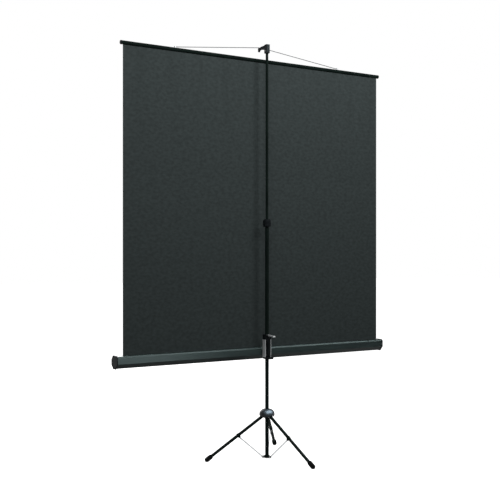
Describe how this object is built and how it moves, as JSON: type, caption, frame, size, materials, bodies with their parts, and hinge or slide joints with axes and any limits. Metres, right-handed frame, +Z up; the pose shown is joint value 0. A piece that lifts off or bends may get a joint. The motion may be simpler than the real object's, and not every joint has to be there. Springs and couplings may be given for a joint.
{
  "type": "tripod projection screen",
  "caption": "Portable projection screen on a folding tripod: telescopic mast with a hook, cloth drawn from a spring roller case on a sliding carriage, wire hanger and top slat.",
  "frame": {"origin": "middle of the bounding box on the floor", "axes": "+Z up along the mast, +X along the case towards the left of the picture, -Y the way the picture side faces"},
  "size_m": [1.85, 0.6588, 2.4525],
  "materials": {
    "black_paint": "satin black paint",
    "case_paint": "satin dark grey paint",
    "black_plastic": "moulded black",
    "gloss_plastic": "gloss black",
    "rubber": "black rubber",
    "zinc_steel": "zinc plated",
    "bright_steel": "bright plated",
    "nylon": "natural nylon",
    "cloth": "black coated back, matte white front"
  },
  "bodies": {
    "mast": {"mast_lower_tube": "black_paint", "mast_foot_plug": "rubber", "mast_foot_collar": "black_paint", "foot_rivet_a": "zinc_steel", "foot_rivet_b": "zinc_steel", "foot_rivet_c": "zinc_steel", "lock_collet": "nylon", "screen_fabric": "cloth"},
    "lock": {"lock_collar": "black_plastic"},
    "upper_mast": {"mast_upper_tube": "black_paint", "upper_guide_bush": "nylon", "hook_head": "black_plastic", "hook_pin": "zinc_steel"},
    "slat": {"top_slat": "black_paint", "slat_end_cap_left": "black_plastic", "slat_end_cap_right": "black_plastic", "hanger_eye_left": "zinc_steel", "hanger_eye_right": "zinc_steel", "hanger_wire": "bright_steel"},
    "carriage": {"carriage_sleeve": "black_plastic", "carrier_bracket": "zinc_steel", "pivot_disc": "black_plastic", "pivot_rivet": "zinc_steel", "brake_shoe": "rubber", "lever_pin": "zinc_steel", "case_shell": "case_paint", "case_end_cap_left": "black_plastic", "case_end_cap_right": "black_plastic", "roller_idle_pin": "zinc_steel", "spring_shaft": "zinc_steel"},
    "lever": {"release_lever": "bright_steel"},
    "roller": {"roller_tube": "zinc_steel", "roller_end_plug_left": "black_plastic", "roller_end_plug_right": "black_plastic", "roller_spring": "bright_steel"},
    "strut_a": {"strut_a": "zinc_steel"},
    "strut_b": {"strut_b": "zinc_steel"},
    "strut_c": {"strut_c": "zinc_steel"},
    "leg_a": {"leg_tube_a": "black_paint", "leg_foot_a": "rubber", "strut_clip_a": "black_paint", "clip_rivet_a": "zinc_steel"},
    "leg_b": {"leg_tube_b": "black_paint", "leg_foot_b": "rubber", "strut_clip_b": "black_paint", "clip_rivet_b": "zinc_steel"},
    "leg_c": {"leg_tube_c": "black_paint", "leg_foot_c": "rubber", "strut_clip_c": "black_paint", "clip_rivet_c": "zinc_steel"},
    "hub": {"hub_spider": "black_plastic", "hub_dome": "gloss_plastic", "leg_pivot_pin_a": "zinc_steel", "leg_pivot_pin_b": "zinc_steel", "leg_pivot_pin_c": "zinc_steel"}
  },
  "joints": [
    {"name": "collar_twist", "type": "hinge", "parent": "mast", "child": "lock", "pos_m": [-0.02, -0.03799, 1.395], "axis": [0, 0, 1], "range_deg": [0, 90]},
    {"name": "mast_extension", "type": "slide", "parent": "mast", "child": "upper_mast", "axis": [0, 0, -1], "range_m": [0, 0.95], "deforming": ["screen_fabric"]},
    {"name": "slat_lift", "type": "slide", "parent": "upper_mast", "child": "slat", "axis": [0, 0, 1], "range_m": [0, 0.008]},
    {"name": "carriage_slide", "type": "slide", "parent": "mast", "child": "carriage", "axis": [0, 0, 1], "range_m": [0, 0.63], "deforming": ["screen_fabric"]},
    {"name": "lever_swing", "type": "hinge", "parent": "carriage", "child": "lever", "pos_m": [-0.02, -0.01689, 0.729], "axis": [1, 0, 0], "range_deg": [0, 18], "stiffness_Nm_per_rad": 3, "springref_deg": -5.73},
    {"name": "roller_turn", "type": "hinge", "parent": "carriage", "child": "roller", "pos_m": [-0.02, -0.09129, 0.619], "axis": [1, 0, 0], "range_deg": [0, 3300]},
    {"name": "strut_a_fold", "type": "hinge", "parent": "mast", "child": "strut_a", "pos_m": [0.00583, -0.04584, 0.01], "axis": [-0.2907, -0.9568, 0], "range_deg": [0, 48]},
    {"name": "strut_b_fold", "type": "hinge", "parent": "mast", "child": "strut_b", "pos_m": [-0.02612, -0.01169, 0.01], "axis": [0.974, 0.2267, 0], "range_deg": [0, 48]},
    {"name": "strut_c_fold", "type": "hinge", "parent": "mast", "child": "strut_c", "pos_m": [-0.03739, -0.05864, 0.01], "axis": [-0.7649, 0.6441, 0], "range_deg": [0, 48]},
    {"name": "leg_a_fold", "type": "hinge", "parent": "strut_a", "child": "leg_a", "pos_m": [0.13754, -0.08586, 0.13], "axis": [0.2907, 0.9568, 0], "range_deg": [0, 96]},
    {"name": "leg_b_fold", "type": "hinge", "parent": "strut_b", "child": "leg_b", "pos_m": [-0.05732, 0.12237, 0.13], "axis": [-0.974, -0.2267, 0], "range_deg": [0, 96]},
    {"name": "leg_c_fold", "type": "hinge", "parent": "strut_c", "child": "leg_c", "pos_m": [-0.12605, -0.16393, 0.13], "axis": [0.7649, -0.6441, 0], "range_deg": [0, 96]},
    {"name": "hub_fold", "type": "hinge", "parent": "leg_a", "child": "hub", "pos_m": [0.00583, -0.04584, 0.25], "axis": [-0.2907, -0.9568, 0], "range_deg": [0, 48]}
  ],
  "couplings": [
    {"joint": "roller_turn", "follows": "mast_extension", "rad_per_m": 59.88},
    {"joint": "strut_b_fold", "follows": "strut_a_fold", "ratio": 1},
    {"joint": "strut_c_fold", "follows": "strut_a_fold", "ratio": 1},
    {"joint": "leg_a_fold", "follows": "strut_a_fold", "ratio": 2},
    {"joint": "leg_b_fold", "follows": "strut_a_fold", "ratio": 2},
    {"joint": "leg_c_fold", "follows": "strut_a_fold", "ratio": 2},
    {"joint": "hub_fold", "follows": "strut_a_fold", "ratio": 1}
  ]
}
